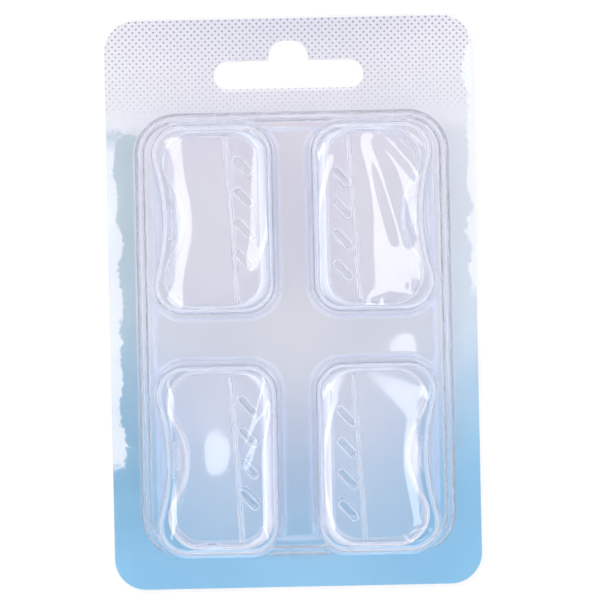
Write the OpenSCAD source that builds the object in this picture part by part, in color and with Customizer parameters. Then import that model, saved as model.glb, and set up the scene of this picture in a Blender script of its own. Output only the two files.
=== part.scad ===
// Hang pack of four clear toothbrush head covers.
// A printed card, a clear blister sealed over it, and four hinged two-tray covers in its pockets.
// Millimetres. The pack lies on the card's back: +X right, +Y up the card, +Z out of the card.

/* [Card] */
// Width of the card
card_w = 100; // [96:1:110]
// Height of the card
card_h = 155; // [150:1:170]
// Thickness of the card
card_t = 0.5; // [0.3:0.1:0.8]
// Corner radius of the card and of the film over it
card_r = 8.5; // [4:0.5:12]
// How much wider than the card the film is cut
film_over_w = 0.9; // [0.8:0.1:1.4]
// How much taller than the card the film is cut
film_over_h = 1.3; // [0.8:0.1:1.6]
// How far left of the film's middle the card lies
card_left = 0.4; // [0:0.1:0.4]
// How far above the film's middle the card lies
card_up = 0.2; // [0:0.1:0.4]

/* [Hang slot] */
// Length of the slot's bar
slot_w = 40.8; // [36:0.2:42]
// Height of the slot's bar
slot_h = 7.7; // [6:0.1:9]
// Width of the round hump over the bar
hump_w = 10.7; // [9:0.1:12]
// Height of the hump over the bar
hump_h = 5.4; // [4.8:0.1:6]
// Radius of the hump's round shoulders
hump_r = 4.4; // [3:0.1:4.5]
// Middle of the bar below the card's top edge
slot_drop = 15.3; // [14:0.1:17]
// How much wider the film's own slot is cut, on each side
film_slot_grow = 0.5; // [0.3:0.1:0.8]
// How far the film's slot sits below the card's
film_slot_drop = 0.6; // [0:0.1:0.8]

/* [Blister] */
// Thickness of the clear film
film_t = 0.4; // [0.3:0.05:0.6]
// Gap that the seal coat leaves between card and film
seal_t = 0.05; // [0.02:0.01:0.1]
// Width of the raised field, over its rim
field_w = 85.8; // [84:0.2:88]
// Height of the raised field, up the card
field_h = 121.1; // [120:0.1:123]
// Corner radius of the raised field
field_r = 11.5; // [9:0.5:13]
// Middle of the raised field below the film's middle
field_drop = 8.25; // [8:0.05:8.6]
// Height of the field's first step over the flange
rim_step = 2.2; // [1.5:0.1:3]
// Height of the rim's ridge over the flange
rim_top = 4.6; // [4:0.1:6]
// Height of the level field inside the rim
field_top = 3.4; // [2.8:0.1:3.8]

/* [Pockets] */
// Top of the pockets over the card's back
pocket_top = 20; // [19.5:0.1:22]
// Width of a pocket at its root
pocket_w = 35.7; // [35.4:0.1:36]
// Length of a pocket at its root
pocket_l = 53.8; // [53:0.1:54.5]
// Middle of a pocket from the pack's middle line
pocket_x = 21.35; // [21.2:0.05:21.5]
// Depth of a pocket's waist
pocket_waist = 2.6; // [2.2:0.1:2.8]
// Lean of a pocket's walls, in degrees
pocket_draft = 5.4; // [4.5:0.1:6]
// Corner radius of a pocket at its root
pocket_r = 9.5; // [8.5:0.5:11]
// Round over of a pocket's top edge
pocket_edge = 1.6; // [1:0.1:2]

/* [Covers] */
// Width of a cover, from its waist side to its hinge side
cover_w = 29.1; // [28:0.1:29.4]
// Length of a cover
cover_l = 48.5; // [46:0.1:49]
// Height of one tray, which is half of the cover
tray_h = 9; // [8:0.1:9.1]
// Wall thickness of a tray
tray_wall = 1; // [0.8:0.05:1.2]
// Corner radius on the waist side
waist_corner = 9; // [8:0.5:10]
// Corner radius on the hinge side
hinge_corner = 8; // [6.5:0.5:9]
// Depth of the finger waist at a tray's face
waist_face = 4.7; // [4:0.1:5]
// Depth of the finger waist where the trays meet
waist_rim = 2.6; // [2.4:0.1:3]
// Round over of the face on the hinge side
hinge_edge = 3.4; // [2.5:0.1:4]
// Round over of the face on the other sides
side_edge = 1.2; // [1.1:0.1:1.6]
// Middle of a cover from the pack's middle line
cover_x = 20.65; // [20.5:0.05:20.8]
// Gap between the card and a cover
cover_lift = 0.3; // [0.2:0.05:0.4]
// Gap between the two rims of a shut cover
rim_gap = 0.1; // [0.06:0.02:0.2]

/* [Vents and latch] */
// Number of vent slots in each tray
vent_count = 4; // [2:1:4]
// Length of a vent slot
vent_l = 6.3; // [5:0.1:6.5]
// Width of a vent slot
vent_w = 1.8; // [1.4:0.1:2]
// Distance between vent slots along the cover
vent_pitch = 8.35; // [8:0.05:8.4]
// Slant of the vent slots from the short side, in degrees
vent_slant = 48; // [40:1:55]
// Width of the slanted rib on a tray's floor
rib_w = 1.3; // [0.8:0.1:1.6]
// Height of that rib
rib_h = 0.6; // [0.4:0.1:0.8]
// Radius of the round neck opening in a shut cover
neck_r = 4.5; // [4:0.1:5]
// Length of the latch tab at the waist
latch_l = 10; // [8:0.5:11]
// Thickness of the latch tab
latch_t = 0.6; // [0.5:0.05:0.7]
// Height of the latch tab over the rim
latch_up = 2.5; // [2:0.1:2.8]

/* [Hinge] */
// Length of the living hinge
hinge_l = 34; // [20:1:34]
// Thickness of the living hinge's web
hinge_t = 0.3; // [0.2:0.05:0.4]
// Distance of the hinge line out from the trays' walls
hinge_out = 0.5; // [0.45:0.05:0.6]

/* [Hidden] */
$fn = 64;

// Heights over the card's back
film_z = card_t + seal_t;
flange_z = film_z + film_t;
cover_z = card_t + cover_lift;
rims_z = cover_z + tray_h;

// The blister's pockets are parted into wall and roof at this height
roof_z = pocket_top - pocket_edge - 0.2;

// Rows of covers up the pack
pocket_pitch = 64.1;
row_mid = -9.3;
row_y = [row_mid - pocket_pitch / 2, row_mid + pocket_pitch / 2];

// Segments on each corner and on the waist of an outline
hinge_corner_steps = 4;
waist_corner_steps = 6;
waist_steps = 6;

// How much smaller than its rim a tray's face is, on each side
face_lean = 0.3;

// Cut bodies run this far past what they cut
past = 1;

// Points on an arc of radius r round [x, y], from angle a to angle b
function arc(x, y, r, a, b, steps) =
  [for (i = [0 : steps]) let (t = a + (b - a) * i / steps) [x + r * cos(t), y + r * sin(t)]];

// Closed outline with four round corners and a waist in its left side.
// The waist is one arc that meets both left corners smoothly.
function waisted(left, right, half_l, r_left, r_right, waist) =
  let (
    mid = half_l - r_left,
    r = (pow(r_left - waist, 2) + mid * mid - r_left * r_left) / (2 * waist),
    turn = atan2(mid, r + r_left - waist),
    waist_arc = arc(left + waist - r, 0, r, turn, -turn, waist_steps)
  )
  concat(
    arc(right - r_right, r_right - half_l, r_right, -90, 0, hinge_corner_steps),
    arc(right - r_right, half_l - r_right, r_right, 0, 90, hinge_corner_steps),
    arc(left + r_left, mid, r_left, 90, 180 + turn, waist_corner_steps),
    [for (i = [1 : waist_steps - 1]) waist_arc[i]],
    arc(left + r_left, -mid, r_left, 180 - turn, 270, waist_corner_steps)
  );

// Closed outline of a rectangle with round corners
function rounded(w, l, r) =
  concat(
    arc(w / 2 - r, r - l / 2, r, -90, 0, waist_corner_steps),
    arc(w / 2 - r, l / 2 - r, r, 0, 90, waist_corner_steps),
    arc(r - w / 2, l / 2 - r, r, 90, 180, waist_corner_steps),
    arc(r - w / 2, r - l / 2, r, 180, 270, waist_corner_steps)
  );

// An outline laid at height z
function at_height(outline, z) = [for (p = outline) [p[0], p[1], z]];

// How far an edge rounded with radius r has drawn in, at depth z below its face
function drawn_in(r, z) = z >= r ? 0 : r - sqrt(r * r - pow(r - z, 2));

// Skin over a stack of outlines, shut at both ends
module loft(rings) {
  n = len(rings[0]);
  last = (len(rings) - 1) * n;
  sides = [
    for (k = [0 : len(rings) - 2], i = [0 : n - 1], half = [0, 1])
      let (a = k * n + i, b = k * n + (i + 1) % n)
        half == 0 ? [a, a + n, b + n] : [a, b + n, b]
  ];
  first_cap = [for (i = [0 : n - 1]) i];
  last_cap = [for (i = [n - 1 : -1 : 0]) last + i];
  polyhedron([for (ring = rings) each ring], concat([first_cap], sides, [last_cap]));
}

// Sheet with four round corners
module rounded_sheet(w, h, r, t) {
  linear_extrude(t) {
    square([w - 2 * r, h], center = true);
    square([w, h - 2 * r], center = true);
    for (x = [-1, 1], y = [-1, 1]) translate([x * (w / 2 - r), y * (h / 2 - r)]) circle(r);
  }
}

// Hang slot: a bar with round ends and a round-shouldered hump over its middle
module hang_slot(grow) {
  bar_r = slot_h / 2 + grow;
  shoulder_r = hump_r + grow;
  shoulder_x = hump_w / 2 - hump_r;
  shoulder_y = slot_h / 2 + hump_h - hump_r;
  square([slot_w - slot_h, 2 * bar_r], center = true);
  for (x = [-1, 1]) {
    translate([x * (slot_w - slot_h) / 2, 0]) circle(bar_r);
    translate([x * shoulder_x, shoulder_y]) circle(shoulder_r);
  }
  translate([-shoulder_x - shoulder_r, 0]) square([2 * (shoulder_x + shoulder_r), shoulder_y]);
  translate([-shoulder_x, 0]) square([2 * shoulder_x, shoulder_y + shoulder_r]);
}

// Places its children at one cover: side is -1 on the left and 1 on the right.
// The right-hand covers are the left-hand ones turned half round.
module at_cover(side, row, x) {
  translate([side * x, row_y[row], 0]) rotate(side > 0 ? 180 : 0) children();
}

// The printed card with its hang slot
module backing_card() {
  color("lightsteelblue")
    translate([-card_left, card_up, 0])
      difference() {
        rounded_sheet(card_w, card_h, card_r, card_t);
        translate([0, card_h / 2 - slot_drop, -past]) linear_extrude(card_t + 2 * past) hang_slot(0);
      }
}

// One skin of the raised field: it steps up from the flange, over a ridge, and down to a level field.
// Skin 0 is the outer face of the film and skin 1 the inner face.
module field_solid(skin) {
  t = skin * film_t;
  lean = 0.7;
  shoulder = 1.9;
  shoulder_rise = 0.15;
  ridge_in = 2.6;
  ridge_bevel = [0.4, 0.2];
  ridge_out = 4.8;
  level_in = 6;
  ridge_at = 4;
  profile = [
    [0, skin == 0 ? 0 : -film_t - past],
    [lean, rim_step],
    [shoulder, rim_step + shoulder_rise],
    [ridge_in, rim_top - ridge_bevel[1]],
    [ridge_in + ridge_bevel[0], rim_top],
    [ridge_out, rim_top],
    [level_in, field_top]
  ];
  loft([
    for (k = [0 : len(profile) - 1])
      let (
        in = profile[k][0] + (k > ridge_at ? -t : t),
        z = k == 0 ? profile[k][1] : profile[k][1] - t
      )
      at_height(rounded(field_w - 2 * in, field_h - 2 * in, field_r - in), flange_z + z)
  ]);
}

// One skin of a pocket, from below the flange to its rounded top
module pocket_solid(skin) {
  t = skin * film_t;
  foot = film_z - (skin == 0 ? 0 : past);
  top = pocket_top - t;
  edge = pocket_edge - t;
  edge_shares = [1, 0.5, 0.13, 0];
  levels = concat([foot], [for (share = edge_shares) top - edge * share]);
  loft([
    for (z = levels)
      let (in = t + (z - film_z) * tan(pocket_draft) + drawn_in(edge, top - z))
      at_height(
        waisted(in - pocket_w / 2, pocket_w / 2 - in, pocket_l / 2 - in,
                pocket_r - in, pocket_r - in, pocket_waist),
        z
      )
  ]);
}

// The clear blister's sheet: a flange sealed to the card, and a raised field with a stepped rim,
// open where the pockets rise
module blister_sheet() {
  color("lightcyan", 0.5)
    difference() {
      union() {
        translate([0, 0, film_z])
          rounded_sheet(card_w + film_over_w, card_h + film_over_h, card_r + film_over_w / 2, film_t);
        translate([0, -field_drop, 0]) field_solid(0);
      }
      translate([0, -field_drop, 0]) field_solid(1);
      for (side = [-1, 1], row = [0, 1]) at_cover(side, row, pocket_x) pocket_solid(0);
      translate([-card_left, card_up + card_h / 2 - slot_drop - film_slot_drop, 0])
        linear_extrude(flange_z + past) hang_slot(film_slot_grow);
    }
}

// Level slab over the whole pack, from height low to height high
module slab(low, high) {
  translate([-card_w, -card_h, low]) cube([2 * card_w, 2 * card_h, high - low]);
}

// Wall of one pocket, formed from the same film and standing on the field or its ridge
module pocket_wall(side, row) {
  color("lightcyan", 0.5)
    difference() {
      at_cover(side, row, pocket_x) pocket_solid(0);
      at_cover(side, row, pocket_x) pocket_solid(1);
      translate([0, -field_drop, 0]) field_solid(1);
      slab(roof_z, pocket_top + past);
    }
}

// Roof of one pocket with its rounded edge, on top of the wall
module pocket_roof(side, row) {
  color("lightcyan", 0.5)
    difference() {
      at_cover(side, row, pocket_x) pocket_solid(0);
      at_cover(side, row, pocket_x) pocket_solid(1);
      slab(-past, roof_z);
    }
}

// Outline of a tray at depth z below its face, drawn in by its wall for the inner skin
function tray_ring(z, wall) =
  let (
    below = wall > 0 ? z - wall : z,
    lean = face_lean * (1 - z / tray_h),
    side = wall + lean + drawn_in(side_edge - 0.9 * wall, below),
    hinge = wall + lean + drawn_in(hinge_edge - wall, below),
    waist = waist_face + (waist_rim - waist_face) * z / tray_h
  )
  at_height(
    waisted(side - cover_w / 2, cover_w / 2 - hinge, cover_l / 2 - side,
            waist_corner - side, hinge_corner - side, waist),
    z
  );

// The bare shell of a tray, with its face down and its rim up
module tray_shell() {
  rim = tray_h - rim_gap / 2;
  outer = [0, 0.12 * side_edge, 0.5 * side_edge, side_edge, 0.6 * hinge_edge, hinge_edge, rim];
  inner = [rim, hinge_edge, 0.6 * hinge_edge, tray_wall];
  loft(concat([for (z = outer) tray_ring(z, 0)], [for (z = inner) tray_ring(z, tray_wall)]));
}

// Vent slots in a tray's face, between the slanted rib and the hinge side
module vents() {
  vent_x = 7.45;
  first_y = 14.2;
  straight = vent_l - vent_w;
  for (i = [0 : vent_count - 1])
    translate([vent_x, first_y - i * vent_pitch, -past])
      rotate(-vent_slant)
        linear_extrude(tray_wall + 2 * past) {
          square([straight, vent_w], center = true);
          for (x = [-1, 1]) translate([x * straight / 2, 0]) circle(vent_w / 2);
        }
}

// Slanted rib on the floor of a tray, which keeps the bristles off the vents
module floor_rib() {
  end_gap = 0.8;
  reach = cover_l / 2 - tray_wall - end_gap;
  rib_x = 4.15;
  rib_turn = 3.2;
  sink = 0.4;
  translate([rib_x, 0, tray_wall - sink])
    rotate(rib_turn)
      translate([-rib_w / 2, -reach, 0]) cube([rib_w, 2 * reach, rib_h + sink]);
}

// Round opening for the brush's neck, half of it in each tray's end wall
module neck_cut() {
  neck_x = -3;
  translate([neck_x, -cover_l / 2 + 3 * tray_wall, tray_h])
    rotate([90, 0, 0]) cylinder(h = 3 * tray_wall + past, r = neck_r);
}

// One tray of a cover with its vents, rib and neck opening, face down
module tray() {
  difference() {
    union() {
      tray_shell();
      floor_rib();
    }
    vents();
    neck_cut();
  }
}

// Latch tab on the base tray's waist, which stands up beside the lid's wall
module latch_tab() {
  face = waist_rim - cover_w / 2;
  stand_off = 0.5;
  foot_h = 2.2;
  foot_down = 3;
  foot_z = tray_h - foot_down;
  bite = 0.45;
  translate([face - stand_off - latch_t, -latch_l / 2, foot_z]) {
    cube([latch_t, latch_l, tray_h + latch_up - foot_z]);
    cube([latch_t + stand_off + bite, latch_l, foot_h]);
  }
}

// Grip bead on the lid's waist, just inside the latch tab
module latch_bead() {
  face = waist_rim - cover_w / 2;
  bead_l = 6;
  bead_r = 0.45;
  down = 1.3;
  translate([face, -bead_l / 2, tray_h - down])
    rotate([-90, 0, 0]) cylinder(h = bead_l, r = bead_r);
}

module base_tray(side, row) {
  color("aliceblue", 0.6)
    at_cover(side, row, cover_x)
      translate([0, 0, cover_z]) {
        tray();
        latch_tab();
      }
}

module lid_tray(side, row) {
  color("azure", 0.6)
    at_cover(side, row, cover_x)
      translate([0, 0, rims_z + tray_h])
        mirror([0, 0, 1]) {
          tray();
          latch_bead();
        }
}

// Living hinge of a shut cover: a thin web looped round the hinge line
module hinge_web(side, row) {
  loop_r = hinge_out + hinge_t;
  color("powderblue")
    at_cover(side, row, cover_x)
      translate([cover_w / 2, hinge_l / 2, rims_z])
        rotate([90, 0, 0])
          linear_extrude(hinge_l)
            difference() {
              circle(loop_r);
              circle(loop_r - hinge_t);
              translate([-2 * loop_r, -loop_r]) square(2 * loop_r);
            }
}

backing_card();
blister_sheet();
pocket_wall(-1, 1);  // pocket_wall_upper_left
pocket_wall(1, 1);  // pocket_wall_upper_right
pocket_wall(-1, 0);  // pocket_wall_lower_left
pocket_wall(1, 0);  // pocket_wall_lower_right
pocket_roof(-1, 1);  // pocket_roof_upper_left
pocket_roof(1, 1);  // pocket_roof_upper_right
pocket_roof(-1, 0);  // pocket_roof_lower_left
pocket_roof(1, 0);  // pocket_roof_lower_right
base_tray(-1, 1);  // base_tray_upper_left
lid_tray(-1, 1);  // lid_tray_upper_left
hinge_web(-1, 1);  // hinge_web_upper_left
base_tray(1, 1);  // base_tray_upper_right
lid_tray(1, 1);  // lid_tray_upper_right
hinge_web(1, 1);  // hinge_web_upper_right
base_tray(-1, 0);  // base_tray_lower_left
lid_tray(-1, 0);  // lid_tray_lower_left
hinge_web(-1, 0);  // hinge_web_lower_left
base_tray(1, 0);  // base_tray_lower_right
lid_tray(1, 0);  // lid_tray_lower_right
hinge_web(1, 0);  // hinge_web_lower_right
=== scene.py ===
import math

import bmesh
import bpy
import numpy as np
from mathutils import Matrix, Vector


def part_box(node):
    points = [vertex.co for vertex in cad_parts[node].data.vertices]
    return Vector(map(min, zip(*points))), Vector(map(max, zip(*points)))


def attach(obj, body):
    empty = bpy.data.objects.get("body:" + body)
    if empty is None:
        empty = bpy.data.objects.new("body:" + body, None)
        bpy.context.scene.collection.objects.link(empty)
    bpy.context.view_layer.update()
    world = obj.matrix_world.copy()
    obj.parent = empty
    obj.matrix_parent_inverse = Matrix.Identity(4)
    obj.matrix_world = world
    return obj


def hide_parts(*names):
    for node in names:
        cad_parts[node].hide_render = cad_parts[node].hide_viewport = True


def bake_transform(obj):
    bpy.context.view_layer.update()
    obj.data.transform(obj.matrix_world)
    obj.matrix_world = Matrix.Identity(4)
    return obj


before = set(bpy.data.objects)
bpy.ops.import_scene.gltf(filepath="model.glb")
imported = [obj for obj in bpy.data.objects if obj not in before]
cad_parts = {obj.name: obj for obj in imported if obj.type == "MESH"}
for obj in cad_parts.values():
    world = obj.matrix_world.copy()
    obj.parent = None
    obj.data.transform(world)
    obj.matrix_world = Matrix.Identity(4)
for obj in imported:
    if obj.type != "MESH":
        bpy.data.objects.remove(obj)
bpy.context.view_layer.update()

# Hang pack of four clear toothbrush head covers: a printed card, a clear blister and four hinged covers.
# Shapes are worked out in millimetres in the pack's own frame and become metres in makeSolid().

mm = 0.001
scene = bpy.context.scene


def boxOf(node):  # lowest and highest corner of a CAD node, in millimetres
    low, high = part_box(node)
    return np.array(low) / mm, np.array(high) / mm


def screen(red, green, blue):  # a colour as a screen shows it, 0 to 255, as the linear values that sockets take
    share = np.array([red, green, blue]) / 255
    linear = np.where(share <= 0.04045, share / 12.92, ((share + 0.055) / 1.055) ** 2.4)
    return (*(float(v) for v in linear), 1.0)


cardLow, cardHigh = boxOf("backing_card")
cardMid = (cardLow + cardHigh) / 2
cardTop = cardHigh[2]
filmLow, filmHigh = boxOf("blister_sheet")
filmMid = (filmLow + filmHigh) / 2
pocketTop = boxOf("pocket_roof_upper_left")[1][2]


# Camera

cameraValues = {
    "height": 800,       # over the card, mm
    "lens": 176.0,
    "aim": (1.45, 0.8),  # where the view is centred, mm
    "turn": -1.2,        # degrees, so that the pack leans a little to the left
}


def makeCamera(v):
    data = bpy.data.cameras.new("camera")
    data.lens = v["lens"]
    data.clip_end = 20
    camera = bpy.data.objects.new("camera", data)
    camera.location = (v["aim"][0] * mm, v["aim"][1] * mm, v["height"] * mm)
    camera.rotation_euler = (0, 0, math.radians(v["turn"]))
    scene.collection.objects.link(camera)
    scene.camera = camera


makeCamera(cameraValues)


# Node helpers

def put(tree, kind, ins=(), **settings):  # ins is a list or a dictionary of values and links
    node = tree.nodes.new(kind)
    for name, value in settings.items():
        setattr(node, name, value)
    for key, value in ins.items() if isinstance(ins, dict) else enumerate(ins):
        if isinstance(value, bpy.types.NodeSocket):
            tree.links.new(value, node.inputs[key])
        elif value is not None:
            node.inputs[key].default_value = value
    return node


def calc(tree, operation, *ins, clamp=False):
    return put(tree, "ShaderNodeMath", ins, operation=operation, use_clamp=clamp).outputs[0]


def vector(tree, operation, *ins):
    node = put(tree, "ShaderNodeVectorMath", {}, operation=operation)
    for i, value in enumerate(ins):
        key = "Scale" if operation == "SCALE" and i == 1 else i
        if isinstance(value, bpy.types.NodeSocket):
            tree.links.new(value, node.inputs[key])
        else:
            node.inputs[key].default_value = value
    return node.outputs["Value" if operation == "LENGTH" else "Vector"]


def blendColour(tree, share, first, second, kind="MIX"):
    node = put(tree, "ShaderNodeMix", {0: share, 6: first, 7: second}, data_type="RGBA", blend_type=kind)
    return node.outputs[2]


def noise(tree, place, scale, detail=2.0, rough=0.5, warp=0.0):
    ins = {"Vector": place, "Scale": scale, "Detail": detail, "Roughness": rough, "Distortion": warp}
    return put(tree, "ShaderNodeTexNoise", ins).outputs["Fac"]


def stray(tree, place, scale, reach, detail=2.0, rough=0.5):  # noise about zero, reach high from end to end
    return calc(tree, "MULTIPLY", calc(tree, "SUBTRACT", noise(tree, place, scale, detail, rough), 0.5), reach)


def step(tree, value, edge, soft):  # 0 below edge, 1 above it, over a soft width
    return calc(tree, "MULTIPLY_ADD", calc(tree, "SUBTRACT", value, edge), 1 / soft, 0.5, clamp=True)


def newGroup(name, ins, outs):
    tree = bpy.data.node_groups.new(name, "ShaderNodeTree")
    for kind, direction in ((ins, "INPUT"), (outs, "OUTPUT")):
        for label, (socket, value) in kind.items():
            made = tree.interface.new_socket(label, in_out=direction, socket_type="NodeSocket" + socket)
            if value is not None:
                made.default_value = value
    return tree, tree.nodes.new("NodeGroupInput").outputs, tree.nodes.new("NodeGroupOutput").inputs


def newMaterial(name):
    material = bpy.data.materials.new(name)
    material.use_nodes = True
    tree = material.node_tree
    shader = tree.nodes["Principled BSDF"]
    place = tree.nodes.new("ShaderNodeTexCoord").outputs["Object"]
    return material, tree, shader, vector(tree, "SCALE", place, 1 / mm)


# Grain: fine mottle, for the print and for the moulded plastic

def makeGrain():
    tree, ins, outs = newGroup(
        "fineGrain",
        {"Place": ("Vector", None), "Size": ("Float", 0.4), "Amount": ("Float", 0.02)},
        {"Shade": ("Float", None), "Height": ("Float", None)},
    )
    scale = calc(tree, "DIVIDE", 1.0, ins["Size"])
    value = noise(tree, ins["Place"], scale, 3.0, 0.7)
    off = calc(tree, "SUBTRACT", value, 0.5)
    strength = calc(tree, "MULTIPLY", ins["Amount"], 4.0)
    tree.links.new(calc(tree, "MULTIPLY_ADD", off, strength, 1.0), outs["Shade"])
    tree.links.new(value, outs["Height"])
    return tree


# Dots: a staggered screen of round dots, each row half a step along from the next

def makeDots():
    tree, ins, outs = newGroup(
        "dotScreen",
        {"Place": ("Vector", None), "Pitch": ("Float", 1.9), "Radius": ("Float", 0.3), "Soft": ("Float", 0.15)},
        {"Mask": ("Float", None)},
    )
    flat = vector(tree, "MULTIPLY", ins["Place"], (1, 1, 0))
    cells = vector(tree, "SCALE", flat, calc(tree, "DIVIDE", 1.0, ins["Pitch"]))
    near = []
    for shift in (0.0, 0.5):
        part = vector(tree, "FRACTION", vector(tree, "ADD", cells, (shift, shift, 0.5)))
        near.append(vector(tree, "LENGTH", vector(tree, "SUBTRACT", part, (0.5, 0.5, 0.5))))
    far = calc(tree, "MULTIPLY", calc(tree, "MINIMUM", *near), ins["Pitch"])
    gap = calc(tree, "DIVIDE", calc(tree, "SUBTRACT", ins["Radius"], far), ins["Soft"])
    tree.links.new(calc(tree, "ADD", gap, 0.5, clamp=True), outs["Mask"])
    return tree


fineGrain = makeGrain()
dotScreen = makeDots()


def grained(tree, place, size, amount):
    return put(tree, "ShaderNodeGroup", {"Place": place, "Size": size, "Amount": amount}, node_tree=fineGrain)


print("shared node groups made")


# Printed card

cardValues = {
    # printed colours up the card: share of the way up, and colour
    "shades": [
        (0.067, screen(122, 186, 222)), (0.16, screen(137, 195, 228)), (0.205, screen(151, 200, 229)),
        (0.27, screen(171, 205, 230)), (0.355, screen(199, 216, 233)), (0.44, screen(215, 223, 233)),
        (0.58, screen(223, 226, 232)), (0.86, screen(228, 226, 232)), (0.98, screen(216, 215, 225)),
    ],
    "spread": (24, 180),  # how far below the card's foot the shades start, and their whole height, mm
    "dot": screen(112, 116, 142),
    "board": screen(226, 224, 217),
    # print inside the raised field multiplied duller: painted shade of the film over it
    "fieldShade": (1.0, 0.955, 0.93, 1),
    "silver": screen(243, 246, 251),
    "sealed": (0.61, 0.73, 0.76, 1),  # the seal coat wets the print and darkens it; the stronger darkening on the left is painted shade, light falling off on that side
    "sag": 24,           # how far higher the blue climbs at the sides than in the middle, mm
    "tilt": 0.02,        # and how much further with each mm to the right
    "half": (46.0, 77.5),         # from the card's middle to its sealed side margin, and to its top, mm
    "drift": (0.03, 14.0),        # slow waves in the shades: how many to a mm, and their height in mm
    "dotPitch": 1.88,
    "dotRadius": 0.28,            # at the top of the card, mm
    "dotSoft": 0.14, "dotStrength": 0.85,
    "dotsEnd": 51,                # over the card's middle, mm
    "fieldMid": (0.4, -8.45), "fieldHalf": (42.6, 60.2), "fieldR": 11.3,  # the unsealed field
    "ragged": (0.8, 9.0),         # torn edges: how many to a mm, and how far they stray, mm
    "sway": (0.09, 7.0),          # slower bends of the silver strips, in the same way
    "wetFrom": 47.0, "wetTo": -58.0,   # heights between which the seal coat wets the print
    "wetAndShadeRight": 0.25,             # strength of the wetting and of the painted shade at the right edge, and 1 at the left
    "stripLeft": -46.9, "stripLeftEnds": (-44.0, 44.0),  # silver strips: where each starts, and its ends
    "stripRight": 48.2, "stripRightEnd": 2.0,
    "fleckOver": 0.66,            # share of noise over which a fleck shows
    "tornLine": 48.5, "tornHalf": 2.6,  # a band of flecks over the field
    "silverStrength": 0.8,
    "grain": (0.45, 0.022), "fibre": (0.5, 0.03),
    "faceFrom": 0.23,             # the print starts this far over the card's middle, mm
}


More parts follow.
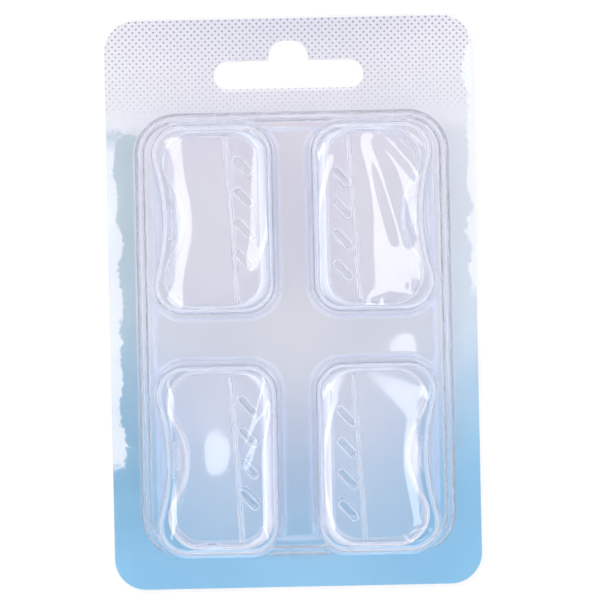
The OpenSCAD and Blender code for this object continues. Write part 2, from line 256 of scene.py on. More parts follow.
def printCard(v):
    material, tree, shader, place = newMaterial("cardPrint")
    local = vector(tree, "SUBTRACT", place, tuple(cardMid))
    x, y, z = (put(tree, "ShaderNodeSeparateXYZ", [local]).outputs[i] for i in range(3))
    halfWide, halfTall = v["half"]
    side = calc(tree, "POWER", calc(tree, "ABSOLUTE", calc(tree, "DIVIDE", x, halfWide)), 2.0)
    height = calc(tree, "SUBTRACT", y, calc(tree, "MULTIPLY", side, v["sag"]))
    height = calc(tree, "MULTIPLY_ADD", x, -v["tilt"], height)
    drift = stray(tree, local, *v["drift"])
    below, whole = v["spread"]
    fromFoot = calc(tree, "ADD", calc(tree, "ADD", height, halfTall + below), drift)
    share = calc(tree, "DIVIDE", fromFoot, whole, clamp=True)
    ramp = put(tree, "ShaderNodeValToRGB", [share])
    for i, (at, shade) in enumerate(v["shades"]):
        stop = ramp.color_ramp.elements[i] if i < 2 else ramp.color_ramp.elements.new(at)
        stop.position = at
        stop.color = shade
    colour = ramp.outputs[0]

    # dots shrink down the card and end below the slot
    fade = calc(tree, "DIVIDE", calc(tree, "SUBTRACT", y, v["dotsEnd"]), halfTall - v["dotsEnd"], clamp=True)
    radius = calc(tree, "MULTIPLY", calc(tree, "POWER", fade, 0.35), v["dotRadius"])
    dots = put(tree, "ShaderNodeGroup", node_tree=dotScreen)
    for key, value in (("Pitch", v["dotPitch"]), ("Soft", v["dotSoft"])):
        dots.inputs[key].default_value = value
    tree.links.new(local, dots.inputs["Place"])
    tree.links.new(radius, dots.inputs["Radius"])
    strength = calc(tree, "MULTIPLY", step(tree, fade, 0.04, 0.06), v["dotStrength"])
    dotMask = calc(tree, "MULTIPLY", dots.outputs["Mask"], strength)
    colour = blendColour(tree, dotMask, colour, v["dot"])

    # inside the raised field the print is multiplied duller: painted shade, standing in for the shadow and haze
    # of the film over it
    corner = []
    for value, middle, half in zip((x, y), v["fieldMid"], v["fieldHalf"]):
        off = calc(tree, "ABSOLUTE", calc(tree, "SUBTRACT", value, middle))
        corner.append(calc(tree, "MAXIMUM", calc(tree, "SUBTRACT", off, half - v["fieldR"]), 0.0))
    reach = calc(tree, "SQRT", calc(tree, "ADD", *(calc(tree, "MULTIPLY", c, c) for c in corner)))
    within = calc(tree, "SUBTRACT", v["fieldR"], reach)
    colour = blendColour(tree, step(tree, within, 0.0, 0.8), colour, v["fieldShade"], "MULTIPLY")

    # the sealed margins are darker below a ragged line where the seal coat wets the print; the stronger darkening
    # on the left is painted shade, light falling off on that side
    margin = calc(tree, "SUBTRACT", 1.0, step(tree, within, -0.6, 0.6))
    rag = stray(tree, local, *v["ragged"], 6.0, 0.75)
    shadeLeftward = calc(tree, "MULTIPLY_ADD", x, -1 / 96, 0.5, clamp=True)
    wet = calc(tree, "SUBTRACT", 1.0, step(tree, calc(tree, "ADD", y, rag), v["wetFrom"], 1.5))
    wet = calc(tree, "MULTIPLY", wet, step(tree, y, v["wetTo"], 24.0))
    wetAndShadeSideways = calc(tree, "MULTIPLY_ADD", shadeLeftward, 1 - v["wetAndShadeRight"], v["wetAndShadeRight"])
    wet = calc(tree, "MULTIPLY", calc(tree, "MULTIPLY", wet, margin), wetAndShadeSideways)
    colour = blendColour(tree, wet, colour, v["sealed"], "MULTIPLY")

    # silvery patches with ragged edges where the seal didn't take
    sway = stray(tree, local, *v["sway"])
    across = calc(tree, "ADD", x, calc(tree, "ADD", calc(tree, "MULTIPLY", rag, 0.5), sway))
    low, high = v["stripLeftEnds"]
    leftStrip = calc(tree, "SUBTRACT", 1.0, step(tree, across, v["stripLeft"], 0.3))
    leftEnd = calc(tree, "MULTIPLY", step(tree, calc(tree, "ADD", y, rag), low, 3.0),
                   calc(tree, "SUBTRACT", 1.0, step(tree, y, high, 6.0)))
    rightStrip = step(tree, across, v["stripRight"], 0.3)
    rightEnd = step(tree, calc(tree, "ADD", y, rag), v["stripRightEnd"], 3.0)
    fleck = step(tree, noise(tree, local, 1.1, 5.0, 0.7), v["fleckOver"], 0.03)
    near = calc(tree, "SUBTRACT", 1.0, calc(tree, "DIVIDE", calc(tree, "ADD", x, halfWide), 3.0, clamp=True))
    tornHeight = calc(tree, "ADD", y, calc(tree, "MULTIPLY", rag, 0.6))
    torn = calc(tree, "ABSOLUTE", calc(tree, "SUBTRACT", tornHeight, v["tornLine"]))
    band = calc(tree, "SUBTRACT", 1.0, calc(tree, "DIVIDE", torn, v["tornHalf"], clamp=True))
    near = calc(tree, "MAXIMUM", near, band)
    patches = calc(tree, "MAXIMUM", calc(tree, "MULTIPLY", leftStrip, leftEnd),
                   calc(tree, "MULTIPLY", rightStrip, rightEnd))
    patches = calc(tree, "MAXIMUM", patches, calc(tree, "MULTIPLY", fleck, near))
    patches = calc(tree, "MULTIPLY", calc(tree, "MULTIPLY", patches, margin), v["silverStrength"])
    colour = blendColour(tree, patches, colour, v["silver"])

    grain = grained(tree, local, *v["grain"])
    colour = blendColour(tree, 1.0, colour, grain.outputs["Shade"], "MULTIPLY")

    # the back and the cut edge show plain board
    fibre = grained(tree, vector(tree, "MULTIPLY", local, (1, 0.25, 1)), *v["fibre"])
    board = blendColour(tree, 1.0, v["board"], fibre.outputs["Shade"], "MULTIPLY")
    front = step(tree, z, v["faceFrom"], 0.02)
    tree.links.new(blendColour(tree, front, board, colour), shader.inputs["Base Color"])
    tree.links.new(calc(tree, "MULTIPLY_ADD", front, -0.3, 0.75), shader.inputs["Roughness"])
    rough = {"Strength": 0.15, "Distance": 0.03 * mm, "Height": grain.outputs["Height"]}
    bump = put(tree, "ShaderNodeBump", rough)
    tree.links.new(bump.outputs[0], shader.inputs["Normal"])
    shader.inputs["Specular IOR Level"].default_value = 0.35
    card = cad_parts["backing_card"]
    card.data.materials.clear()
    card.data.materials.append(material)
    print("card printed")


printCard(cardValues)


# Outlines: closed loops of points round a shape, as arrays of (x, y)

def arc(x, y, radius, first, last, count):
    turn = np.radians(np.linspace(first, last, count))
    return np.stack([x + radius * np.cos(turn), y + radius * np.sin(turn)], 1)


def straight(first, last, count):  # points strictly between two points
    share = np.linspace(0, 1, count + 2)[1:-1, None]
    return np.array(first) * (1 - share) + np.array(last) * share


def roundedOutline(width, length, radius, count=20, side=0):  # side counts the points along each straight
    x, y = width / 2, length / 2
    right, top = x - radius, y - radius
    return np.concatenate([
        arc(right, -top, radius, -90, 0, count), straight((x, -top), (x, top), side),
        arc(right, top, radius, 0, 90, count), straight((right, y), (-right, y), side),
        arc(-right, top, radius, 90, 180, count), straight((-x, top), (-x, -top), side),
        arc(-right, -top, radius, 180, 270, count), straight((-right, -y), (right, -y), side),
    ])


# Rectangle with round corners whose left side draws in along one arc that meets its corners smoothly.
def waistedOutline(left, right, halfLength, radiusLeft, radiusRight, waist, fine=1.0):
    mid = halfLength - radiusLeft
    radius = ((radiusLeft - waist) ** 2 + mid ** 2 - radiusLeft ** 2) / (2 * waist)
    turn = math.degrees(math.atan2(mid, radius + radiusLeft - waist))
    corner, side, end, hollow = (max(2, round(n * fine)) for n in (18, 12, 8, 30))
    xEnd, yEnd = right - radiusRight, halfLength - radiusRight
    xLeft = left + radiusLeft
    return np.concatenate([
        arc(xEnd, -yEnd, radiusRight, -90, 0, corner),
        straight((right, -yEnd), (right, yEnd), side),
        arc(xEnd, yEnd, radiusRight, 0, 90, corner),
        straight((xEnd, halfLength), (xLeft, halfLength), end),
        arc(xLeft, mid, radiusLeft, 90, 180 + turn, corner),
        arc(left + waist - radius, 0, radius, turn, -turn, hollow)[1:-1],
        arc(xLeft, -mid, radiusLeft, 180 - turn, 270, corner),
        straight((xLeft, -halfLength), (xEnd, -halfLength), end),
    ])


def drawnIn(radius, depth):  # how far an edge of that radius has drawn in, at a depth below its face
    below = np.clip(radius - depth, 0, None)
    return radius - math.sqrt(max(radius ** 2 - below ** 2, 0)) if depth < radius else 0.0


# Open line of (x, y) corners, each turned into a short curve that starts and ends reach away from it.
def softened(points, reach, count=4):
    points = np.array(points, float)
    made = [points[0]]
    for before, corner, after in zip(points[:-2], points[1:-1], points[2:]):
        into, out = before - corner, after - corner
        first = corner + into * min(0.5, reach / np.linalg.norm(into))
        last = corner + out * min(0.5, reach / np.linalg.norm(out))
        share = np.linspace(0, 1, count)[:, None]
        made.extend((1 - share) ** 2 * first + 2 * share * (1 - share) * corner + share ** 2 * last)
    made.append(points[-1])
    return np.array(made)


# Meshes

# Closed skin over a stack of equal loops: quads between loops, and a fan at each end.
# rings has the shape (loops, points, 3). The first loop is the low end, wound anticlockwise from above.
def loft(rings):
    rings = np.asarray(rings, float)
    loops, points, _ = rings.shape
    low, high = rings[0].mean(0), rings[-1].mean(0)
    verts = np.concatenate([rings.reshape(-1, 3), [low, high]])
    i = np.arange(points)
    j = (i + 1) % points
    quad = np.stack([i, j, j + points, i + points], 1)
    quads = np.concatenate([quad + k * points for k in range(loops - 1)])
    top = (loops - 1) * points
    lowFan = np.stack([j, i, np.full(points, loops * points)], 1)
    highFan = np.stack([top + i, top + j, np.full(points, loops * points + 1)], 1)
    return verts, [*quads.tolist(), *lowFan.tolist(), *highFan.tolist()]


def makeSolid(name, verts, faces):
    mesh = bpy.data.meshes.new(name)
    mesh.from_pydata((np.asarray(verts) * mm).tolist(), [], faces)
    mesh.update()
    piece = bpy.data.objects.new(name, mesh)
    scene.collection.objects.link(piece)
    return piece


# Joins or cuts closed solids. The others are used up.
def combine(base, others, operation):
    for other in others:
        modifier = base.modifiers.new(operation, "BOOLEAN")
        modifier.object = other
        modifier.operation = operation
        modifier.solver = "MANIFOLD"
    graph = bpy.context.evaluated_depsgraph_get()
    mesh = bpy.data.meshes.new_from_object(base.evaluated_get(graph))
    base.modifiers.clear()
    base.data = mesh
    for other in others:
        bpy.data.objects.remove(other)
    return base


# Level faces shade flat right up to the roundings beside them: their corners take the face's own normal.
def shadeLevels(mesh):
    corners = np.empty(len(mesh.loops) * 3, np.float32)
    mesh.corner_normals.foreach_get("vector", corners)
    faces = np.empty(len(mesh.polygons) * 3, np.float32)
    mesh.polygons.foreach_get("normal", faces)
    count = np.empty(len(mesh.polygons), np.int32)
    mesh.polygons.foreach_get("loop_total", count)
    corners, own = corners.reshape(-1, 3), np.repeat(faces.reshape(-1, 3), count, axis=0)
    level = np.abs(own[:, 2]) > 0.99995
    corners[level] = own[level]
    mesh.normals_split_custom_set(corners.tolist())


# Faces steeper than the given lean, as the height of their normal, take the walls' own material: a milkier white
# copy of the plastic, a painted highlight for the white glare along steep walls.
def finishPiece(piece, material, walls, steep, sharp=32.0):
    mesh = piece.data
    mesh.materials.clear()
    mesh.materials.append(material)
    mesh.materials.append(walls)
    upright = np.empty(len(mesh.polygons) * 3, np.float32)
    mesh.polygons.foreach_get("normal", upright)
    mesh.polygons.foreach_set("material_index", (np.abs(upright[2::3]) < steep).astype(np.int32))
    mesh.polygons.foreach_set("use_smooth", [True] * len(mesh.polygons))
    mesh.set_sharp_from_angle(angle=math.radians(sharp))
    mesh.update()
    shadeLevels(mesh)
    return piece


# Clear plastics

# Clear sheet or moulding: sharp transmission, faint large ripples, and light let through its shadow.
def clearPlastic(name, tint, clarity, ior, rough, ripple, grainSize):
    material, tree, shader, place = newMaterial(name)
    shader.inputs["Base Color"].default_value = tint
    shader.inputs["Metallic"].default_value = 0.0
    shader.inputs["Transmission Weight"].default_value = clarity
    shader.inputs["IOR"].default_value = ior
    grain = grained(tree, place, grainSize, 0.3)
    smear = noise(tree, place, 0.06, 3.0, 0.55)
    roughness = calc(tree, "MULTIPLY_ADD", step(tree, smear, 0.6, 0.35), rough, rough * 0.5)
    tree.links.new(roughness, shader.inputs["Roughness"])
    wave = noise(tree, place, 0.11, 1.5, 0.4)
    height = calc(tree, "MULTIPLY_ADD", grain.outputs["Height"], 0.004, wave)
    bump = put(tree, "ShaderNodeBump", {"Strength": 1.0, "Distance": ripple * mm, "Height": height})
    tree.links.new(bump.outputs[0], shader.inputs["Normal"])
    edgeOn = calc(tree, "POWER", put(tree, "ShaderNodeLayerWeight", {"Blend": 0.5}).outputs["Facing"], 3.0)
    through = blendColour(tree, edgeOn, (0.985, 0.985, 0.99, 1), (0.72, 0.75, 0.86, 1))
    shadow = put(tree, "ShaderNodeBsdfTransparent", {"Color": through})
    path = put(tree, "ShaderNodeLightPath")
    shadowRay = path.outputs["Is Shadow Ray"]
    mixed = put(tree, "ShaderNodeMixShader", [shadowRay, shader.outputs[0], shadow.outputs[0]])
    tree.links.new(mixed.outputs[0], tree.nodes["Material Output"].inputs["Surface"])
    return material


filmPlastic = clearPlastic("clearFilm", screen(254, 254, 255), 0.98, 1.53, 0.065, 0.0, 0.8)
# milkier, less clear copies for steep walls: painted highlight standing in for the white glare along the walls
filmWallHighlight = clearPlastic("filmWallsPaintedHighlight", screen(240, 243, 252), 0.82, 1.53, 0.06, 0.0, 0.8)
coverPlastic = clearPlastic("clearMoulding", screen(253, 253, 255), 0.978, 1.49, 0.06, 0.06, 0.6)
coverWallHighlight = clearPlastic("coverWallsPaintedHighlight", screen(240, 243, 251), 0.66, 1.49, 0.12, 0.0, 0.6)
hingePlastic = clearPlastic("clearHinge", screen(244, 246, 252), 0.95, 1.49, 0.12, 0.05, 0.4)


# Blister

blisterValues = {
    "film": 0.4,             # thickness
    "gap": 0.05,             # seal coat between card and film
    "cardR": 8.95,
    "fieldSize": (85.8, 121.1), "fieldR": 11.5, "fieldDrop": 8.25,
    "rim": [(0, 0), (0.7, 2.2), (1.9, 2.35), (2.6, 4.4), (3.0, 4.6), (4.8, 4.6), (6.0, 3.4)],
    "fieldTop": 3.4,
    "pocketSize": (35.7, 53.8), "pocketX": 21.35, "pocketR": 9.5, "pocketWaist": 2.6,
    "draft": 5.4, "edge": 1.6, "flare": 1.1,
    "pillow": 0.3, "topHalf": (15.5, 24.5),  # how far a pocket's top turns down at its edges, and its half size
    "wave": 0.02, "sagMost": 0.68, "sagReach": 5.0,  # sag fades out over this depth below the top
    "waist": (14.0, 2.6, 11.0),  # waist side from the pocket's middle, its hollow and the hollow's half length
    "topLoops": 40, "levelLoops": 44, "levelPoints": 36, "ridgeAt": 3.9,
    "slot": (40.8, 7.7, 10.7, 5.4, 4.4), "slotDrop": 15.9, "slotGrow": 0.5,
    "steep": 0.9,            # faces steeper than this, as the height of their normal, take the milkier wall plastic, a painted highlight
}
rowY = {"lower": -41.35, "upper": 22.75}
sideX = {"left": -1, "right": 1}


def turned(points, side):  # the right-hand shapes are the left-hand ones turned half round
    return points if side < 0 else points * np.array([-1, -1, 1])


def placed(points, side, row, x):
    return turned(points, side) + np.array([side * x, rowY[row], 0])


# Hang slot: a bar with round ends and a hump with round shoulders over its middle.
def slotOutline(size, grow, count=14):
    width, height, hump, rise, shoulder = size
    end = height / 2 + grow
    x, r = hump / 2 - shoulder, shoulder + grow
    y = height / 2 + rise - shoulder
    bar = (width - height) / 2
    return np.concatenate([
        arc(bar, 0, end, -90, 90, count * 2), arc(x, y, r, 0, 90, count),
        arc(-x, y, r, 90, 180, count), arc(-bar, 0, end, 90, 270, count * 2),
    ])


# The film turns down beside the waist: width of the band at the waist, slope, and softness.
waistBands = {
    "upper_left": (6.5, 0.05, 0.6), "upper_right": (4.5, 0.048, 0.6),
    "lower_left": (2.0, 0.03, 0.6), "lower_right": (5.5, 0.048, 0.6),
}
# Where the film of each pocket's top bends down, by place from the pocket's middle, mm.
# A bend starts at a line through (x, y) and slopes down along its heading, in degrees from the right.
bends = {  # x, y, heading, slope, softness
    "upper_left": [(9.3, 0, -4, 0.093, 0.8), (6.0, -13, -20, 0.1, 0.9)],
    "upper_right": [(-1.5, 0, -6, 0.041, 1.1), (-10, 14, 150, 0.1, 1.0)],
    "lower_left": [(12, 0, 0, 0.1, 1.0)],
    "lower_right": [(2.5, 14.5, 48, 0.065, 0.9), (-10, 14, 150, 0.1, 1.0), (-11, -19, 210, 0.1, 1.0)],
}
# A crease is a groove along the line from one point to another, or a round dent where the two are close.
creases = {  # x and y of one end, x and y of the other, depth, half width
    "upper_left": [(9, 24, 15, 18, 0.35, 0.9), (11, 25, 16, 21, 0.25, 0.7), (2, -19, 2.1, -19.5, 0.45, 6.0)],
    "upper_right": [(0, 25, 13, 12, 0.3, 2.0), (4, 25, 15.5, 14, 0.35, 1.2), (8, 25, 16, 18, 0.4, 0.9),
                    (0, 20, 7.5, -6, 0.2, 2.4), (2, -22.5, 9, -25, 0.4, 1.4), (10, -19, 15, -24, 0.4, 1.0)],
    "lower_left": [(6.5, -1, 13.5, 15, 0.21, 1.5), (-6.5, 2, -6.6, 1.9, 0.55, 9.0)],
    "lower_right": [(9, -21, 15, -19, 0.45, 0.9), (11, -25, 15.5, -21, 0.4, 0.8)],
}


# How far the film of a pocket's top lies below its highest level: edges that turn down, slow waves, bends and
# creases, all held under the most that clears the cover below. A bend's depth is its slope times a soft ramp, and
# the deepest bend counts, the band along the waist among them. A crease's depth falls off as a bell curve away
# from its line.
def topSag(v, x, y, name):
    halfWide, halfLong = v["topHalf"]
    out = np.maximum(np.abs(x) / halfWide, np.abs(y) / halfLong)
    phase = len(name) + 2.1 * name.count("upper")
    sag = v["pillow"] * np.clip(out, 0, 1) ** 6
    wave = np.sin(0.21 * x + 0.16 * y + phase) * np.cos(0.13 * y - 0.08 * x + 2 * phase)
    sag = sag + v["wave"] + v["wave"] * wave
    blur = 0.015  # mm, over which the deepest of the bends takes over from the others
    width, slope, soft = waistBands[name]
    side = 1 if name.endswith("right") else -1
    waistX, hollow, hollowHalf = v["waist"]
    fromWaist = waistX - hollow * np.exp(-(y / hollowHalf) ** 2) - side * x
    fall = slope * soft * np.logaddexp(0, (width - fromWaist) / soft)
    for atX, atY, heading, slope, soft in bends[name]:
        turn = math.radians(heading)
        past = (x - atX) * math.cos(turn) + (y - atY) * math.sin(turn)
        fall = blur * np.logaddexp(fall / blur, slope * soft * np.logaddexp(0, past / soft) / blur)
    sag = sag + fall
    for fromX, fromY, toX, toY, depth, half in creases[name]:
        length = math.hypot(toX - fromX, toY - fromY)
        wayX, wayY = (toX - fromX) / length, (toY - fromY) / length
        along = np.clip((x - fromX) * wayX + (y - fromY) * wayY, 0, length)
        away = np.hypot(x - fromX - along * wayX, y - fromY - along * wayY)
        sag = sag + depth * np.exp(-(away / half) ** 2)
    most = v["sagMost"]
    return sag / (1 + (sag / most) ** 8) ** 0.125


# Loops up a pocket: a root flare, leaning walls, a rounded top edge, then loops across the sagging top.
# Skin 0 is the film's outer face and skin 1 its inner face.
def pocketRings(v, skin, row, side):
    t = skin * v["film"]
    base = cardTop + v["gap"]
    top = pocketTop - t
    edge = v["edge"] - t
    level = base + v["film"] + v["fieldTop"] - t
    flare = v["flare"] + t
    turn = np.linspace(0, np.pi / 2, 7)
    heights = np.concatenate([
        [base - 3 * skin, level - 0.05], level + flare * (1 - np.cos(turn)),
        np.linspace(level + flare, top - edge, 8)[1:-1],
        (top - edge) + edge * np.sin(np.linspace(0, np.pi / 2, 9)),
    ])
    rings = []
    for z in heights:
        root = 0.0
        if z < level + flare:
            root = flare - math.sqrt(max(flare ** 2 - (flare - max(z - level, 0)) ** 2, 0))
        inset = t + (z - base) * math.tan(math.radians(v["draft"])) + drawnIn(edge, top - z) - root
        width, length = v["pocketSize"]
        loop = waistedOutline(inset - width / 2, width / 2 - inset, length / 2 - inset,
                              v["pocketR"] - inset, v["pocketR"] - inset, v["pocketWaist"])
        rings.append(np.column_stack([loop, np.full(len(loop), z)]))
    last = rings[-1]
    middle = np.array([0.8, 0.0, last[0, 2]])
    for share in np.linspace(1, 0.02, v["topLoops"])[1:]:
        rings.append(middle + (last - middle) * [share, share, 1])
    rings = placed(np.array(rings), side, row, v["pocketX"])
    centre = np.array([side * v["pocketX"], rowY[row]])
    weight = np.clip((rings[..., 2] - top) / v["sagReach"] + 1, 0, 1) ** 2
    local = rings[..., :2] - centre
    name = row + ("_left" if side < 0 else "_right")
    rings[..., 2] -= weight * topSag(v, local[..., 0], local[..., 1], name)
    return rings


# Shallow dents in the field's film between the pockets: middle, half widths and depth, mm.
fieldDents = [(35, -12, 8, 4, 0.5), (-30, -13, 7, 4, 0.25)]


# Loops over the raised field: up its stepped rim, down to its level, then across it with the dents.
def fieldRings(v, skin):
    t = skin * v["film"]
    flange = cardTop + v["gap"] + v["film"]
    line = softened(v["rim"], 0.45)
    rings = []
    width, length = v["fieldSize"]
    for k, (inward, z) in enumerate(line):
        shift = -t if inward > v["ridgeAt"] else t
        inset = inward + shift
        height = flange + z - t
        if k == 0:
            height = flange - (t + 1) * skin - 0.1 * (1 - skin)
        loop = roundedOutline(width - 2 * inset, length - 2 * inset, v["fieldR"] - inset, side=v["levelPoints"])
        rings.append(np.column_stack([loop, np.full(len(loop), height)]))
    last = rings[-1]
    for share in np.linspace(1, 0.02, v["levelLoops"])[1:]:
        rings.append(last * [share, share, 1])
    rings = np.array(rings) - np.array([0, v["fieldDrop"], 0])
    level = rings[-v["levelLoops"]:]
    for x, y, halfX, halfY, depth in fieldDents:
        away = ((level[..., 0] - x) / halfX) ** 2 + ((level[..., 1] - y) / halfY) ** 2
        level[..., 2] -= depth * np.exp(-away)
    return rings


def prism(outline, low, high):
    return np.array([np.column_stack([outline, np.full(len(outline), z)]) for z in (low, high)])


def makeBlister(v):
    base = cardTop + v["gap"]
    size = filmHigh - filmLow
    sheet = roundedOutline(size[0], size[1], v["cardR"], 24) + filmMid[:2]
    blister = makeSolid("clear_blister", *loft(prism(sheet, base, base + v["film"])))
    slot = slotOutline(v["slot"], v["slotGrow"]) + [cardMid[0], cardHigh[1] - v["slotDrop"]]
    places = [(side, row) for side in sideX.values() for row in rowY]
    outer = [makeSolid("fieldOuter", *loft(fieldRings(v, 0)))]
    outer += [makeSolid("pocketOuter", *loft(pocketRings(v, 0, row, side))) for side, row in places]
    inner = [makeSolid("fieldInner", *loft(fieldRings(v, 1)))]
    inner += [makeSolid("pocketInner", *loft(pocketRings(v, 1, row, side))) for side, row in places]
    inner.append(makeSolid("slotCut", *loft(prism(slot, base - 2, base + v["film"] + 2))))
    combine(blister, outer, "UNION")
    combine(blister, inner, "DIFFERENCE")
    finishPiece(blister, filmPlastic, filmWallHighlight, v["steep"])
    pocketNodes = [f"pocket_{part}_{row}_{name}" for part in ("wall", "roof") for row in rowY for name in sideX]
    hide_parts("blister_sheet", *pocketNodes)
    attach(blister, "blister")
    print("blister formed,", len(blister.data.polygons), "faces")


makeBlister(blisterValues)


# Covers

coverValues = {
    "size": (29.1, 48.5), "height": 9.0, "wall": 1.0,
    "waistCorner": 9.0, "hingeCorner": 8.0, "waistFace": 4.7, "waistRim": 2.6,
    "hingeEdge": 3.4, "sideEdge": 1.2, "lean": 0.3, "rimGap": 0.1, "rimRound": 0.15,
    "x": 20.65, "lift": 0.3,
    "ventCount": 4, "ventSize": (6.3, 1.8), "ventPitch": 8.35, "ventSlant": 48, "ventX": 7.45, "ventY": 14.2,
    "ventBevel": 0.35,
    "ribSize": (1.3, 0.6), "ribX": 4.15, "ribTurn": 3.2, "ribGap": 0.8, "sink": 0.15,
    "neckR": 4.5, "neckX": -3.0,
    "tabSize": (0.6, 10.0), "tabUp": 2.5, "tabOff": 0.5, "tabDown": 3, "tabBite": 0.45, "footHalf": 1.1,
    "beadSize": (0.45, 6.0), "beadDown": 1.3,
    "markR": 2.0, "markDeep": 0.1,
    "hingeLength": 34.0, "hingeWeb": 0.3, "hingeOut": 0.5,
    "steep": 0.96,           # faces steeper than this, as the height of their normal, take the milkier wall plastic, a painted highlight
}
ejectorMarks = [(-9.6, 17.2), (-9.8, -17.0), (9.4, 19.0), (8.8, -18.4)]


# Outline of a tray at depth z below its face, drawn in by its wall for the inner skin.
def trayLoop(v, z, wall):
    below = z - wall if wall else z
    lean = v["lean"] * (1 - z / v["height"])
    side = wall + lean + drawnIn(v["sideEdge"] - 0.9 * wall, below)
    hinge = wall + lean + drawnIn(v["hingeEdge"] - wall, below)
    waist = v["waistFace"] + (v["waistRim"] - v["waistFace"]) * z / v["height"]
    width, length = v["size"]
    return waistedOutline(side - width / 2, width / 2 - hinge, length / 2 - side,
                          v["waistCorner"] - side, v["hingeCorner"] - side, waist)


# Tray with its face down: up the outside, over a rounded rim and down the inside. The face has a faint dish.
def trayShell(v):
    rim = v["height"] - v["rimGap"] / 2
    r = v["rimRound"]
    side, hinge = v["sideEdge"], v["hingeEdge"]
    outer = [0, 0.02, 0.08, 0.2, 0.38, 0.62, 0.9, side, 1.6, 2.2, 2.8, hinge, 5.0, 7.0,
             rim - r, rim - 0.3 * r, rim]
    inner = [rim, rim - 0.3 * r, rim - r, 7.0, 5.0, hinge, 2.9, 2.4, 1.9, 1.5, 1.25, 1.1, 1.03, v["wall"]]
    rings = []
    for wall, depths in ((0, outer), (v["wall"], inner)):
        for z in depths:
            loop = trayLoop(v, z, wall)
            near = rim - z
            if near < r:  # the rim's edges are eased
                centre = loop.mean(0)
                pull = (r - math.sqrt(max(r ** 2 - (r - near) ** 2, 0))) * (1 if wall == 0 else -1)
                away = loop - centre
                loop = centre + away * (1 - pull / np.linalg.norm(away, axis=1, keepdims=True))
            rings.append(np.column_stack([loop, np.full(len(loop), z)]))
    dish = 0.08

    def across(edgeRing, direction):
        middle = edgeRing.mean(0)
        made = []
        for share in (0.9, 0.75, 0.55, 0.3):
            ring = middle + (edgeRing - middle) * [share, share, 1]
            ring[:, 2] += dish * (1 - share ** 2) * direction
            made.append(ring)
        return made

    return np.array(across(rings[0], 1)[::-1] + rings + across(rings[-1], 1))


# Slot with a bevelled mouth, cut through a tray's face.
def ventCutter(v, index):
    long, wide = v["ventSize"]
    heights = [(-1.0, v["ventBevel"] + 0.35), (0.0, v["ventBevel"]), (0.3, 0.0), (v["wall"] + 2.0, 0.0)]
    turn = math.radians(-v["ventSlant"])
    spin = np.array([[math.cos(turn), math.sin(turn)], [-math.sin(turn), math.cos(turn)]])
    rings = []
    for z, grow in heights:
        r = wide / 2 + grow
        half = (long - wide) / 2
        loop = np.concatenate([arc(half, 0, r, -90, 90, 12), arc(-half, 0, r, 90, 270, 12)]) @ spin
        loop = loop + [v["ventX"], v["ventY"] - index * v["ventPitch"]]
        rings.append(np.column_stack([loop, np.full(len(loop), z)]))
    return np.array(rings)


# Rounded bar along a straight path of points: a squarish ring at each point, small at both ends.
def barRings(path, radiusX, radiusZ, power=3.0, count=16):
    path = np.asarray(path, float)
    along = (path[-1] - path[0]) / np.linalg.norm(path[-1] - path[0])
    across = np.cross(along, [0, 0, 1])
    up = np.cross(across, along)
    turn = np.linspace(0, 2 * np.pi, count, endpoint=False)
    c, s = np.cos(turn), np.sin(turn)
    flat = np.sign(c) * np.abs(c) ** (2 / power), np.sign(s) * np.abs(s) ** (2 / power)
    length = np.linalg.norm(path[-1] - path[0])
    rings = []
    ease = min(0.4, radiusX, radiusZ)
    for at in (0, 0.3 * ease, ease, length / 2, length - ease, length - 0.3 * ease, length):
        near = min(at, length - at)
        size = 1 - 0.35 * (1 - min(near / ease, 1)) ** 2
        centre = path[0] + along * at
        rings.append(centre + size * (np.outer(flat[0] * radiusX, across) + np.outer(flat[1] * radiusZ, up)))
    return np.array(rings)


def flipWinding(rings):  # keeps faces outward where a bar's rings run clockwise
    return rings[:, ::-1]


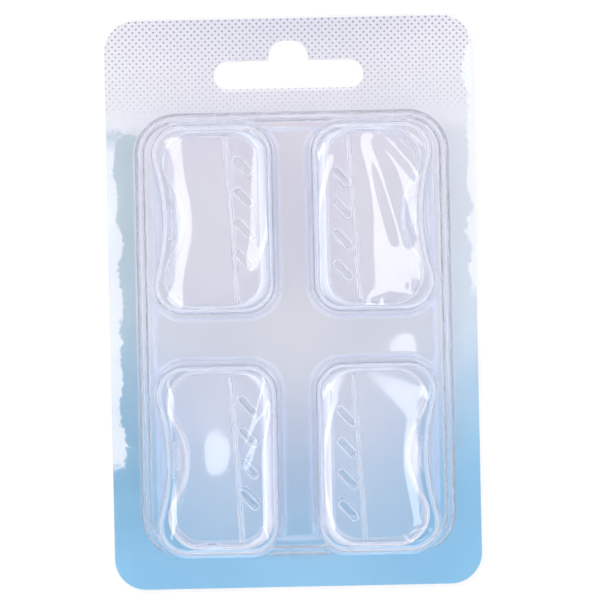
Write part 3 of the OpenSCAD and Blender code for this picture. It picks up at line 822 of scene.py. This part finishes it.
# Tray of a cover with its rib, vents, neck opening and latch, placed shut in its pocket.
def makeTray(v, name, isLid, side, row):
    width, length = v["size"]
    floor = v["wall"]

    def seated(rings):
        rings = np.array(rings, float)
        low = cardTop + v["lift"]
        if isLid:
            rings[..., 2] = low + 2 * v["height"] - rings[..., 2]
        else:
            rings[..., 2] = low + rings[..., 2]
        return placed(rings, side, row, v["x"])

    def solid(rings):
        verts, faces = loft(seated(rings))
        if isLid:
            faces = [face[::-1] for face in faces]
        return makeSolid("part", verts, faces)

    tray = solid(trayShell(v))
    tray.name = name
    tray.data.name = name
    ribW, ribH = v["ribSize"]
    reach = length / 2 - floor - v["ribGap"]
    turn = math.radians(v["ribTurn"])
    alongX, alongY = -math.sin(turn) * reach, math.cos(turn) * reach
    ends = [(v["ribX"] + s * alongX, s * alongY, floor - v["sink"]) for s in (-1, 1)]
    adds = [solid(flipWinding(barRings(ends, ribW / 2, ribH + v["sink"])))]
    face = v["waistRim"] - width / 2
    if isLid:
        beadR, beadL = v["beadSize"]
        z = v["height"] - v["beadDown"]
        bead = [(face, -beadL / 2, z), (face, beadL / 2, z)]
        adds.append(solid(flipWinding(barRings(bead, beadR, beadR, 2.0))))
    else:
        thick, long = v["tabSize"]
        x = face - v["tabOff"] - thick / 2
        foot = v["height"] - v["tabDown"]
        top = v["height"] + v["tabUp"]
        tab = [(x, -long / 2, (foot + top) / 2), (x, long / 2, (foot + top) / 2)]
        adds.append(solid(flipWinding(barRings(tab, thick / 2, (top - foot) / 2, 8.0, 32))))
        reachIn = (thick + v["tabOff"] + v["tabBite"]) / 2
        heel = [(x - thick / 2 + reachIn, s * long / 2, foot + v["footHalf"]) for s in (-1, 1)]
        adds.append(solid(flipWinding(barRings(heel, reachIn, v["footHalf"], 6.0, 24))))
    combine(tray, adds, "UNION")
    cuts = [solid(ventCutter(v, i)) for i in range(v["ventCount"])]
    neckTurn = np.linspace(0, 2 * np.pi, 48, endpoint=False)
    neckX = v["neckX"] + v["neckR"] * np.cos(neckTurn)
    neckZ = v["height"] + v["neckR"] * np.sin(neckTurn)
    neck = [np.column_stack([neckX, np.full(48, y), neckZ]) for y in (-length / 2 - 1, -length / 2 + 3 * floor)]
    cuts.append(solid(flipWinding(np.array(neck))))
    for x, y in ejectorMarks:
        loops = [np.column_stack([arc(x, y, v["markR"] + grow, 0, 348, 30), np.full(30, z)])
                 for z, grow in ((-1, 0.08), (v["markDeep"], -0.05))]
        cuts.append(solid(np.array(loops)))
    combine(tray, cuts, "DIFFERENCE")
    return finishPiece(tray, coverPlastic, coverWallHighlight, v["steep"])


# Living hinge: a thin strip bent half round the hinge line, with rounded edges.
def makeHinge(v, name, side, row):
    z = cardTop + v["lift"] + v["height"]
    outer, inner = v["hingeOut"] + v["hingeWeb"], v["hingeOut"]
    mid, half = (outer + inner) / 2, v["hingeWeb"] / 2
    turn = np.radians(np.linspace(-90, 90, 21))
    span = v["hingeLength"] / 2
    corners = [(-half, -span), (half, -span), (half, span), (-half, span), (-half, -span + 0.4)]
    slab = softened(corners, 0.08, 3)
    rings = []
    for angle in turn:  # the slab is swept from the lower tray to the upper one
        out = np.array([math.cos(angle), 0, math.sin(angle)])
        rings.append(np.array([[0, p[1], 0] + out * (mid + p[0]) for p in slab]))
    rings = np.array(rings) + [v["size"][0] / 2, 0, z]
    verts, faces = loft(placed(rings, side, row, v["x"]))
    web = makeSolid(name, verts, faces)
    return finishPiece(web, hingePlastic, coverWallHighlight, 0.0)


def fixNormals(piece):  # turns every face outward
    work = bmesh.new()
    work.from_mesh(piece.data)
    bmesh.ops.recalc_face_normals(work, faces=work.faces)
    work.to_mesh(piece.data)
    work.free()


def makeCovers(v):
    for row in rowY:
        for sideName, side in sideX.items():
            place = f"{row}_{sideName}"
            base = makeTray(v, "cover_base_" + place, False, side, row)
            lid = makeTray(v, "cover_lid_" + place, True, side, row)
            web = makeHinge(v, "cover_hinge_" + place, side, row)
            fixNormals(web)
            for piece, node in ((base, "base_tray_"), (lid, "lid_tray_"), (web, "hinge_web_")):
                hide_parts(node + place)
            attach(base, "cover_" + place)
            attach(lid, "lid_" + place)
            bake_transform(web)
            print("cover made,", place, len(lid.data.polygons), "faces")


makeCovers(coverValues)


# Floor, sky and lamps

stageValues = {
    "floorSize": 6.0,
    "floorColour": screen(247, 247, 248),
    # studio light by angle from straight above: degrees, level
    "sky": [(0, 0.25), (8, 0.3), (14, 0.4), (30, 0.5), (36, 2.3), (52, 2.3), (60, 0.8), (90, 0.5)],
    "skyTint": screen(232, 234, 243),  # in its dimmest part
    # name: place in mm, size in mm, radiance; each shines straight down
    "lamps": {
        "overLeft": ((-160, -20, 1000), (74, 400), 3.2),
        "overRight": ((160, -20, 1000), (74, 400), 3.0),
    },
}


def makeFloor(v):
    half = v["floorSize"] / 2
    turn = np.linspace(0, 2 * np.pi, 64, endpoint=False)
    mesh = bpy.data.meshes.new("floor")
    verts = np.column_stack([half * np.cos(turn), half * np.sin(turn), np.full(64, -0.0001)])
    mesh.from_pydata(verts.tolist(), [], [list(range(64))])
    floor = bpy.data.objects.new("floor", mesh)
    scene.collection.objects.link(floor)
    material, tree, shader, place = newMaterial("paleFloor")
    shader.inputs["Base Color"].default_value = v["floorColour"]
    shader.inputs["Roughness"].default_value = 0.9
    glow = put(tree, "ShaderNodeEmission", {"Color": (1, 1, 1, 1), "Strength": 1.0})
    path = put(tree, "ShaderNodeLightPath").outputs
    seen = calc(tree, "MAXIMUM", calc(tree, "MAXIMUM", path["Is Camera Ray"], path["Is Glossy Ray"]),
                path["Is Transmission Ray"])
    share = calc(tree, "MULTIPLY", seen, 0.8)
    mixed = put(tree, "ShaderNodeMixShader", [share, shader.outputs[0], glow.outputs[0]])
    tree.links.new(mixed.outputs[0], tree.nodes["Material Output"].inputs["Surface"])
    mesh.materials.append(material)


def makeSky(v):
    world = bpy.data.worlds.new("studio")
    scene.world = world
    world.use_nodes = True
    tree = world.node_tree
    way = put(tree, "ShaderNodeTexCoord").outputs["Generated"]
    up = put(tree, "ShaderNodeSeparateXYZ", [way]).outputs["Z"]
    angle = calc(tree, "DIVIDE", calc(tree, "ARCCOSINE", up), math.pi / 2, clamp=True)
    ramp = put(tree, "ShaderNodeValToRGB", [angle])
    brightest = max(level for _, level in v["sky"])
    for i, (degrees, level) in enumerate(v["sky"]):
        stop = ramp.color_ramp.elements[i] if i < 2 else ramp.color_ramp.elements.new(degrees / 90)
        stop.position = degrees / 90
        tint = [1 - (1 - c) * (1 - level / brightest) for c in v["skyTint"][:3]]
        stop.color = (*(level / brightest * c for c in tint), 1)
    tree.links.new(ramp.outputs[0], tree.nodes["Background"].inputs["Color"])
    tree.nodes["Background"].inputs["Strength"].default_value = brightest


def makeLamps(v):
    for name, (place, size, level) in v["lamps"].items():
        data = bpy.data.lights.new(name, "AREA")
        data.shape = "RECTANGLE"
        data.size, data.size_y = size[0] * mm, size[1] * mm
        data.energy = level * math.pi * data.size * data.size_y
        lamp = bpy.data.objects.new(name, data)
        lamp.location = tuple(c * mm for c in place)
        scene.collection.objects.link(lamp)


makeFloor(stageValues)
makeSky(stageValues)
makeLamps(stageValues)
scene.view_settings.view_transform = "Standard"
scene.cycles.max_bounces = 32
scene.cycles.transmission_bounces = 32
scene.cycles.glossy_bounces = 8
scene.cycles.transparent_max_bounces = 32
print("stage set")

bpy.context.view_layer.update()
